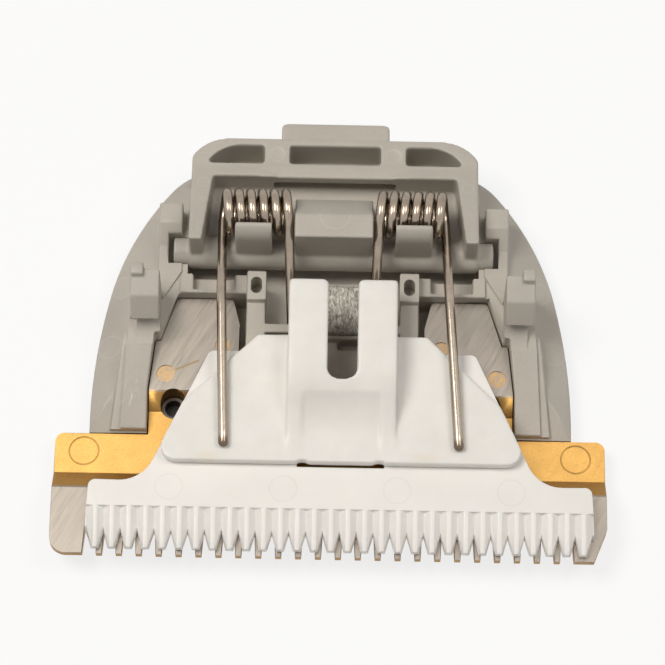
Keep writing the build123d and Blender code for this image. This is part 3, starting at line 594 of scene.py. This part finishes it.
def moulded_acetal(colour):
    """Acetal: milky white, a waxy sheen, slightly see-through at thin edges, with faint oil stains."""
    finish, tree, shader, place = new_finish("moulded_acetal")
    cloud = add_node(
        tree,
        "ShaderNodeTexNoise",
        None,
        {"Vector": place, "Scale": per_metre(3), "Detail": 3.0, "Roughness": 0.55},
    ).outputs["Fac"]
    tone = add_node(
        tree,
        "ShaderNodeMapRange",
        None,
        {"Value": cloud, **NOISE_SPAN, "To Min": 0.95, "To Max": 1.02},
    ).outputs["Result"]
    white = add_node(
        tree,
        "ShaderNodeMix",
        TINT,
        {"Factor": 1.0, "A": (*colour, 1), "B": tone},
    ).outputs["Result"]
    # Oil stains where the spring tips rub near the front edge, each within a wide oval
    oil_tan = linear("#E6D3AE")
    oval = (0.55, 1.3, 0.6)
    plate_height = 6.1 * MM
    stains = None
    for x, y in ((-10.2, -11.8), (7.9, -11.7)):
        offset = add_node(
            tree,
            "ShaderNodeVectorMath",
            {"operation": "SUBTRACT"},
            {0: place, 1: (x * MM, y * MM, plate_height)},
        ).outputs[0]
        offset = add_node(tree, "ShaderNodeVectorMath", TIMES, {0: offset, 1: oval}).outputs[0]
        far = add_node(tree, "ShaderNodeVectorMath", {"operation": "LENGTH"}, {0: offset}).outputs["Value"]
        near = add_node(
            tree,
            "ShaderNodeMapRange",
            FADE,
            {"Value": far, "From Min": 0.1 * MM, "From Max": 1.0 * MM, "To Min": 0.5, "To Max": 0.0},
        ).outputs["Result"]
        if stains is None:
            stains = near
        else:
            stains = add_node(tree, "ShaderNodeMath", LARGER, {0: stains, 1: near}).outputs[0]
    stains = add_node(tree, "ShaderNodeMath", TIMES, {0: stains, 1: cloud}).outputs[0]
    white = add_node(
        tree, "ShaderNodeMix", OVERLAY, {"Factor": stains, "A": white, "B": (*oil_tan, 1)}
    ).outputs["Result"]
    tree.links.new(white, shader.inputs["Base Color"])
    grain = add_node(
        tree, "ShaderNodeTexNoise", None, {"Vector": place, "Scale": per_metre(0.3), "Detail": 2.0}
    ).outputs["Fac"]
    rough = add_node(
        tree,
        "ShaderNodeMapRange",
        None,
        {"Value": grain, **NOISE_SPAN, "To Min": 0.36, "To Max": 0.48},
    ).outputs["Result"]
    tree.links.new(rough, shader.inputs["Roughness"])
    bump = add_node(tree, "ShaderNodeBump", None, {"Strength": 0.12, "Distance": 0.03 * MM, "Height": grain})
    tree.links.new(bump.outputs["Normal"], shader.inputs["Normal"])
    shader.inputs["IOR"].default_value = 1.48
    shader.inputs["Subsurface Weight"].default_value = 0.6
    shader.inputs["Subsurface Radius"].default_value = (1.0, 0.85, 0.7)
    shader.inputs["Subsurface Scale"].default_value = 1.0 * MM
    return finish


def drawn_music_wire(colour):
    """Music wire, cold drawn: bright steel, an uneven brown film, thicker towards the coils where it is also
    painted shade, and legs darker brown towards their tips.
    """
    finish, tree, shader, place = new_finish("drawn_music_wire")
    axes = add_node(tree, "ShaderNodeSeparateXYZ", None, {"Vector": place})
    film_brown = linear("#6E6053")
    film = add_node(
        tree,
        "ShaderNodeTexNoise",
        None,
        {"Vector": place, "Scale": per_metre(1.3), "Detail": 3.0, "Roughness": 0.6},
    ).outputs["Fac"]
    # Painted shade: the brown film thickens towards the coils, darkening the wire where shade falls around
    # them
    film_and_shade_to_coil = add_node(
        tree,
        "ShaderNodeMapRange",
        FADE,
        {"Value": axes.outputs["Y"], "From Min": -6 * MM, "From Max": 8 * MM, "To Min": 0.1, "To Max": 0.5},
    ).outputs["Result"]
    film = add_node(
        tree,
        "ShaderNodeMapRange",
        None,
        {"Value": film, "From Min": 0.35, "From Max": 0.65, "To Min": 0.35, "To Max": 1.0},
    ).outputs["Result"]
    film = add_node(tree, "ShaderNodeMath", TIMES, {0: film, 1: film_and_shade_to_coil}).outputs[0]
    # Darker brown towards the leg tips
    brown_tips = add_node(
        tree,
        "ShaderNodeMapRange",
        FADE,
        {
            "Value": axes.outputs["Y"],
            "From Min": -10.7 * MM,
            "From Max": -9.9 * MM,
            "To Min": 0.95,
            "To Max": 0.0,
        },
    ).outputs["Result"]
    film = add_node(tree, "ShaderNodeMath", LARGER, {0: film, 1: brown_tips}).outputs[0]
    steel = add_node(
        tree, "ShaderNodeMix", OVERLAY, {"Factor": film, "A": (*colour, 1), "B": (*film_brown, 1)}
    ).outputs["Result"]
    tree.links.new(steel, shader.inputs["Base Color"])
    drawn = add_node(
        tree, "ShaderNodeTexNoise", None, {"Vector": place, "Scale": per_metre(0.25), "Detail": 2.0}
    ).outputs["Fac"]
    rough = add_node(
        tree,
        "ShaderNodeMapRange",
        None,
        {"Value": drawn, **NOISE_SPAN, "To Min": 0.16, "To Max": 0.27},
    ).outputs["Result"]
    tree.links.new(rough, shader.inputs["Roughness"])
    shader.inputs["Metallic"].default_value = 1.0
    return finish


def oiled_felt(colour):
    """Wool felt, pressed and oiled: matted grey fibres that lie along the head, with pale tips."""
    finish, tree, shader, place = new_finish("oiled_felt")
    drawn_out = add_node(
        tree, "ShaderNodeMapping", STRETCH, {"Vector": place, "Scale": (1.0, 3.2, 1.0)}
    ).outputs["Vector"]
    fibres = add_node(
        tree,
        "ShaderNodeTexNoise",
        None,
        {"Vector": drawn_out, "Scale": per_metre(0.17), "Detail": 3.0, "Roughness": 0.6, "Distortion": 1.2},
    ).outputs["Fac"]
    ramp = add_node(tree, "ShaderNodeValToRGB", None, {"Fac": fibres})
    oiled, pale = ramp.color_ramp.elements
    oiled.position = 0.36
    oiled.color = (*[c * 0.42 for c in colour], 1)
    pale.position = 0.66
    pale.color = (*[min(1, c * 1.75) for c in colour], 1)
    tree.links.new(ramp.outputs["Color"], shader.inputs["Base Color"])
    bump = add_node(tree, "ShaderNodeBump", None, {"Strength": 0.8, "Distance": 0.12 * MM, "Height": fibres})
    tree.links.new(bump.outputs["Normal"], shader.inputs["Normal"])
    shader.inputs["Roughness"].default_value = 0.55
    shader.inputs["Sheen Weight"].default_value = 0.3
    return finish


def make_piece(shape, name, body, slot, finish, *nodes):
    """Turns a bmesh into an object that stands for CAD nodes and rides on their body."""
    mesh = bpy.data.meshes.new(name)
    shape.to_mesh(mesh)
    shape.free()
    # Corner normals that came along with a copied mesh no longer fit its faces
    if "custom_normal" in mesh.attributes:
        mesh.attributes.remove(mesh.attributes["custom_normal"])
    piece = bpy.data.objects.new(name, mesh)
    bpy.context.scene.collection.objects.link(piece)
    mesh.materials.append(finish)
    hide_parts(*nodes)
    if body:
        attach(piece, body)
    return piece


def merged_copy(node):
    """Copy of a CAD node's mesh with its loose triangles joined."""
    shape = bmesh.new()
    shape.from_mesh(frame["nodes"][node].data)
    bmesh.ops.remove_doubles(shape, verts=shape.verts, dist=WELD)
    return shape


def room_beside(edge):
    """Least distance from an edge to the far sides of its two faces."""
    ends = [v.co for v in edge.verts]
    spots = [ends[0].lerp(ends[1], t) for t in (0.1, 0.5, 0.9)]
    room = edge.calc_length()
    for face in edge.link_faces:
        for other in face.edges:
            if other is edge or set(other.verts) & set(edge.verts):
                continue
            a, b = (v.co for v in other.verts)
            for spot in spots:
                _, share = intersect_point_line(spot, a, b)
                near = a.lerp(b, min(1, max(0, share)))
                room = min(room, (near - spot).length)
    return room


def softened(node, name, body, slot, finish, width, segments, least):
    """Merged copy of a CAD node with its longer sharp edges rounded wherever there is room."""
    shape = merged_copy(node)
    bmesh.ops.dissolve_limit(
        shape, angle_limit=radians(1), use_dissolve_boundaries=False, verts=shape.verts, edges=shape.edges
    )
    skin = BVHTree.FromBMesh(shape)
    sharp = [
        e
        for e in shape.edges
        if len(e.link_faces) == 2
        and e.calc_length() > least
        and e.calc_face_angle(0) > SHARP_FOLD
        and room_beside(e) > 2.1 * width
    ]
    bmesh.ops.bevel(
        shape,
        geom=sharp,
        offset=width,
        offset_type="OFFSET",
        affect="EDGES",
        segments=segments,
        profile=0.5,
        material=-1,
        clamp_overlap=False,
    )
    # A corner that the rounding throws off the old skin goes back to it
    for vert in shape.verts:
        near, _, _, far = skin.find_nearest(vert.co)
        if far > 0.6 * width:
            vert.co = near
    bmesh.ops.dissolve_degenerate(shape, dist=0.001 * MM, edges=shape.edges)
    piece = make_piece(shape, name, body, slot, finish, node)
    piece.data.shade_smooth()
    piece.data.set_sharp_from_angle(angle=CREASE_FOLD)
    normals = piece.modifiers.new("Flat faces stay flat", "WEIGHTED_NORMAL")
    normals.keep_sharp = True


def moulded(node, name, body, slot, finish, step, rounds, ledges=()):
    """Merged copy of a CAD node and any ledges on it, as one skin whose edges are softened by smoothing."""
    shape = merged_copy(node)
    for low, high in ledges:
        block = bmesh.ops.create_cube(shape, size=1.0)["verts"]
        bmesh.ops.scale(shape, verts=block, vec=high - low)
        bmesh.ops.translate(shape, verts=block, vec=(low + high) / 2)
    piece = make_piece(shape, name, body, slot, finish, node)
    skin = piece.modifiers.new("One skin", "REMESH")
    skin.mode = "VOXEL"
    skin.voxel_size = step
    skin.use_smooth_shade = True
    soft = piece.modifiers.new("Soft edges", "SMOOTH")
    soft.factor = 0.5
    soft.iterations = rounds


class CLIPPER_OT_moulding(bpy.types.Operator):
    """Cover and lever in moulded ABS, with rounded edges"""

    bl_idname = "clipper.moulding"
    bl_label = "Cover and lever"

    def execute(self, context):
        sizes = context.scene.clipper_sizes
        finish = moulded_abs(context.scene.clipper_colours.abs_grey)
        softened(
            "housing",
            "cover_moulding",
            "head",
            "grey_plastic",
            finish,
            width=sizes.cover_edge,
            segments=2,
            least=0.3 * MM,
        )
        # The bar in front of the windows runs on over the scoop
        bar = (at(-6.3, 32.85, 5.5), at(6.3, 34.0, 6.6))
        moulded(
            "lever",
            "lever_moulding",
            "lever",
            "grey_plastic",
            finish,
            step=sizes.moulding_step,
            rounds=5,
            ledges=[bar],
        )
        return {"FINISHED"}


class CLIPPER_OT_comb(bpy.types.Operator):
    """Steel comb with its gold-toned coating and ground lands"""

    bl_idname = "clipper.comb"
    bl_label = "Comb"

    def execute(self, context):
        colours = context.scene.clipper_colours
        finish = gilt_sintered_steel(colours.gilt, colours.ground_steel)
        softened(
            "fixed_blade",
            "comb_blade",
            "head",
            "gilt_steel",
            finish,
            width=context.scene.clipper_sizes.blade_edge,
            segments=1,
            least=0.8 * MM,
        )
        return {"FINISHED"}


class CLIPPER_OT_cutter(bpy.types.Operator):
    """Ceramic cutter and the drive follower on it"""

    bl_idname = "clipper.cutter"
    bl_label = "Cutter and follower"

    def execute(self, context):
        sizes = context.scene.clipper_sizes
        colours = context.scene.clipper_colours
        ceramic = ground_zirconia(colours.zirconia)
        softened(
            "moving_blade",
            "ceramic_cutter",
            "cutter",
            "white_ceramic",
            ceramic,
            width=sizes.cutter_edge,
            segments=2,
            least=0.3 * MM,
        )
        acetal = moulded_acetal(colours.acetal)
        moulded(
            "drive_follower",
            "fork_moulding",
            "cutter",
            "white_plastic",
            acetal,
            step=sizes.moulding_step,
            rounds=8,
        )
        return {"FINISHED"}


def extrude_ring(shape, ring, place, scale=1.0):
    """Extrudes a ring of edges to a new centre, and returns the new ring."""
    made = bmesh.ops.extrude_edge_only(shape, edges=ring)["geom"]
    verts = [g for g in made if isinstance(g, bmesh.types.BMVert)]
    centre = sum((v.co for v in verts), Vector()) / len(verts)
    bmesh.ops.translate(shape, verts=verts, vec=place - centre)
    if scale != 1.0:
        bmesh.ops.scale(shape, verts=verts, vec=(scale, scale, scale), space=Matrix.Translation(-place))
    return [g for g in made if isinstance(g, bmesh.types.BMEdge) and len(g.link_faces) < 2]


def draw_leg(shape, ring, start, stops):
    """Straight and bent runs of wire through the stops, closed by a rounded end."""
    last = start
    for stop in stops:
        ring = extrude_ring(shape, ring, stop)
        heading = (stop - last).normalized()
        last = stop
    radius = bpy.context.scene.clipper_sizes.wire / 2
    ring = extrude_ring(shape, ring, last + heading * 0.35 * radius, 0.82)
    ring = extrude_ring(shape, ring, last + heading * 0.55 * radius, 0.5)
    bmesh.ops.edgeloop_fill(shape, edges=ring)


def run(start, end, count):
    """Evenly spaced stops from start to end, without the start."""
    return [start.lerp(end, i / count) for i in range(1, count + 1)]


class CLIPPER_OT_springs(bpy.types.Operator):
    """Both torsion springs, as round wire between lever and head"""

    bl_idname = "clipper.springs"
    bl_label = "Springs"

    def execute(self, context):
        finish = drawn_music_wire(context.scene.clipper_colours.music_wire)
        for side, node in ((-1, "left_spring"), (1, "right_spring")):
            self.wind(context.scene.clipper_sizes, side, node, finish)
        return {"FINISHED"}

    def wind(self, sizes, side, node, finish):
        """Winds the coil from its inner end, then draws a straight inner leg and a kinked outer one."""
        axle = at(side * 3.85, 29.1, 7.6)
        turns = 5
        steps = 150
        top_lean = radians(33)
        foot_lean = radians(8)
        sweep = turns * 2 * pi + pi + top_lean + foot_lean
        rise = sizes.coil_pitch * sweep / (2 * pi)
        top = axle + sizes.coil_radius * Vector((0, -sin(top_lean), cos(top_lean)))
        foot = axle + Vector((side * rise, 0, 0))
        foot += sizes.coil_radius * Vector((0, -sin(foot_lean), -cos(foot_lean)))
        shape = bmesh.new()
        upright = Matrix.Rotation(radians(90), 4, "X")
        lean = Matrix.Rotation(top_lean, 4, "X")
        disc = bmesh.ops.create_circle(
            shape,
            cap_ends=False,
            segments=16,
            radius=sizes.wire / 2,
            matrix=Matrix.Translation(top) @ lean @ upright,
        )
        first = list({e for v in disc["verts"] for e in v.link_edges})
        wound = bmesh.ops.spin(
            shape,
            geom=disc["verts"] + first,
            cent=axle,
            axis=(-1, 0, 0),
            dvec=(side * rise / steps, 0, 0),
            angle=sweep,
            steps=steps,
            use_merge=False,
            use_duplicate=False,
        )
        last = [g for g in wound["geom_last"] if isinstance(g, bmesh.types.BMEdge)]
        inner_end = at(side * 3.35, 19.2, 0)
        inner_end.z = top.z - (top.y - inner_end.y) * tan(top_lean)
        draw_leg(shape, first, top, run(top, inner_end, 12))
        # The tip follows the cutter, which rests 0.9 mm right of the middle, and the kink does so in part
        kink_back = 7.15 * MM
        kink = foot + Vector((0, -kink_back, kink_back * tan(foot_lean)))
        kink.x = (side * 9.554 + 0.225) * MM
        tip = at(side * 9.7 + 0.9, 8.66, 6.56)
        before = kink.lerp(foot, 0.14)
        after = kink.lerp(tip, 0.08)
        bend = [before.lerp(kink, t).lerp(kink.lerp(after, t), t) for t in (0.25, 0.5, 0.75, 1.0)]
        draw_leg(shape, last, foot, run(foot, before, 9) + bend + run(after, tip, 12))
        bmesh.ops.remove_doubles(shape, verts=shape.verts, dist=WELD)
        bmesh.ops.recalc_face_normals(shape, faces=shape.faces)
        piece = make_piece(shape, node + "_wire", None, "spring_steel", finish, node)
        piece.data.shade_smooth()
        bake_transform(piece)


class CLIPPER_OT_felt(bpy.types.Operator):
    """Oil felt: a matted pad with loose fibres on top"""

    bl_idname = "clipper.felt"
    bl_label = "Oil felt"

    def execute(self, context):
        low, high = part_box("oil_felt")
        shape = bmesh.new()
        bmesh.ops.create_cube(shape, size=1.0)
        size = high - low
        bmesh.ops.scale(shape, verts=shape.verts, vec=size)
        bmesh.ops.translate(shape, verts=shape.verts, vec=(low + high) / 2)
        bmesh.ops.bevel(
            shape,
            geom=shape.edges[:],
            offset=0.3 * MM,
            offset_type="OFFSET",
            affect="EDGES",
            segments=3,
            profile=0.5,
            material=-1,
        )
        bmesh.ops.subdivide_edges(shape, edges=shape.edges[:], cuts=12, use_grid_fill=True)
        lump = 0.5 * MM
        for vert in shape.verts:
            depth = noise.fractal(vert.co / lump, 0.8, 2.0, 4)
            if vert.co.z > low.z + size.z / 2:
                vert.co.z += 0.07 * MM * depth
        # Fibres lie almost flat, scattered evenly by steps that never repeat
        step_x, step_y, step_length = 0.6180339, 0.7548777, 0.5698403
        most_turn = 55
        lay = Matrix.Rotation(radians(84), 4, "X")
        for i in range(context.scene.clipper_sizes.felt_fibres):
            spot = Vector((
                low.x + size.x * ((i * step_x) % 1 * 0.94 + 0.03),
                low.y + size.y * ((i * step_y) % 1 * 0.9 + 0.05),
                high.z - 0.02 * MM,
            ))
            turn = Matrix.Rotation(radians(noise.noise(spot / (0.3 * MM)) * most_turn), 4, "Z")
            length = (0.5 + 0.5 * ((i * step_length) % 1)) * MM
            bmesh.ops.create_cone(
                shape,
                cap_ends=True,
                segments=4,
                radius1=0.035 * MM,
                radius2=0.012 * MM,
                depth=length,
                matrix=Matrix.Translation(spot) @ turn @ lay,
            )
        finish = oiled_felt(context.scene.clipper_colours.felt)
        piece = make_piece(shape, "felt_pad", "head", "felt", finish, "oil_felt")
        piece.data.shade_smooth()
        return {"FINISHED"}


class CLIPPER_OT_stage(bpy.types.Operator):
    """White floor, a lamp above each side, the stronger on the left, and the camera of the photograph"""

    bl_idname = "clipper.stage"
    bl_label = "Stage"

    def execute(self, context):
        scene = context.scene
        scene.view_settings.view_transform = "Standard"
        shape = bmesh.new()
        bmesh.ops.create_grid(shape, x_segments=1, y_segments=1, size=0.6)
        mesh = bpy.data.meshes.new("stage_floor")
        shape.to_mesh(mesh)
        shape.free()
        floor = bpy.data.objects.new("stage_floor", mesh)
        scene.collection.objects.link(floor)
        paper = bpy.data.materials.new("stage_paper")
        paper.use_nodes = True
        tree = paper.node_tree
        tree.nodes.clear()
        colour = (*scene.clipper_colours.paper, 1)
        seen = seen_white(tree)
        matt = add_node(tree, "ShaderNodeBsdfDiffuse", None, {"Color": colour}).outputs["BSDF"]
        glow = add_node(tree, "ShaderNodeEmission", None, {"Color": WHITE, "Strength": 1.0}).outputs[0]
        # The rest of the floor's look is left to the shadow that falls on it
        share = add_node(tree, "ShaderNodeMath", TIMES, {0: seen, 1: 0.8}).outputs[0]
        mixed = add_node(tree, "ShaderNodeMixShader", None, {0: share, 1: matt, 2: glow}).outputs["Shader"]
        add_node(tree, "ShaderNodeOutputMaterial", None, {"Surface": mixed})
        mesh.materials.append(paper)
        self.sky(scene)
        self.lamp(scene, "key", (-0.18, 0.02, 0.39), size=0.2, watts=1.05)
        self.lamp(scene, "fill", (0.2, 0.02, 0.36), size=0.2, watts=0.4)
        self.camera(scene)
        return {"FINISHED"}

    def sky(self, scene):
        """White where it is seen, and a faint even light elsewhere."""
        world = bpy.data.worlds.new("studio")
        scene.world = world
        world.use_nodes = True
        tree = world.node_tree
        tree.nodes.clear()
        light = add_node(
            tree, "ShaderNodeMapRange", None, {"Value": seen_white(tree), "To Min": 0.17, "To Max": 1.0}
        ).outputs["Result"]
        sky = add_node(tree, "ShaderNodeBackground", None, {"Color": WHITE, "Strength": light}).outputs[0]
        add_node(tree, "ShaderNodeOutputWorld", None, {"Surface": sky})

    def lamp(self, scene, name, place, size, watts):
        """Warm white disc that faces the middle of the head."""
        data = bpy.data.lights.new(name, "AREA")
        data.shape = "DISK"
        data.size = size
        data.energy = watts
        data.color = linear("#FFFAF3")
        lamp = bpy.data.objects.new(name, data)
        scene.collection.objects.link(lamp)
        lamp.location = place
        lamp.rotation_euler = (-Vector(place)).to_track_quat("-Z", "Y").to_euler()

    def camera(self, scene):
        """Long lens at 67.5 degrees above the teeth, rolled about a degree as in the photograph."""
        tilt = radians(67.5)
        roll = radians(1.0765)
        back = Vector((0, -cos(tilt), sin(tilt)))
        across = Vector((1, 0, 0))
        above = back.cross(across)
        right = cos(roll) * across + sin(roll) * above
        up = cos(roll) * above - sin(roll) * across
        target = Vector((0.034, 0.495, 3.4)) * MM
        distance = 280 * MM
        data = bpy.data.cameras.new("photo_camera")
        data.sensor_fit = "HORIZONTAL"
        data.sensor_width = 36.0
        data.lens = 179.5
        data.clip_start = 0.01
        camera = bpy.data.objects.new("photo_camera", data)
        scene.collection.objects.link(camera)
        turn = Matrix((right, up, back)).transposed().to_4x4()
        camera.matrix_world = Matrix.Translation(target + back * distance) @ turn
        scene.camera = camera


class CLIPPER_PT_panel(bpy.types.Panel):
    """Lists the pieces, with their sizes and colours"""

    bl_idname = "CLIPPER_PT_panel"
    bl_label = "Clipper blade head"
    bl_space_type = "VIEW_3D"
    bl_region_type = "UI"
    bl_category = "Clipper"

    def draw(self, context):
        for group in (context.scene.clipper_sizes, context.scene.clipper_colours):
            for name in group.__annotations__:
                self.layout.prop(group, name)
        for operator in OPERATORS:
            self.layout.operator(operator.bl_idname)


OPERATORS = (
    CLIPPER_OT_stage,
    CLIPPER_OT_moulding,
    CLIPPER_OT_comb,
    CLIPPER_OT_cutter,
    CLIPPER_OT_springs,
    CLIPPER_OT_felt,
)
CLASSES = (ClipperSizes, ClipperColours, *OPERATORS, CLIPPER_PT_panel)


def register():
    for cls in CLASSES:
        bpy.utils.register_class(cls)
    bpy.types.Scene.clipper_sizes = PointerProperty(type=ClipperSizes)
    bpy.types.Scene.clipper_colours = PointerProperty(type=ClipperColours)


def unregister():
    del bpy.types.Scene.clipper_colours
    del bpy.types.Scene.clipper_sizes
    for cls in reversed(CLASSES):
        bpy.utils.unregister_class(cls)


def main():
    register()
    bpy.ops.clipper.stage()
    bpy.ops.clipper.moulding()
    bpy.ops.clipper.comb()
    bpy.ops.clipper.cutter()
    bpy.ops.clipper.springs()
    bpy.ops.clipper.felt()


if __name__ == "__main__":
    main()
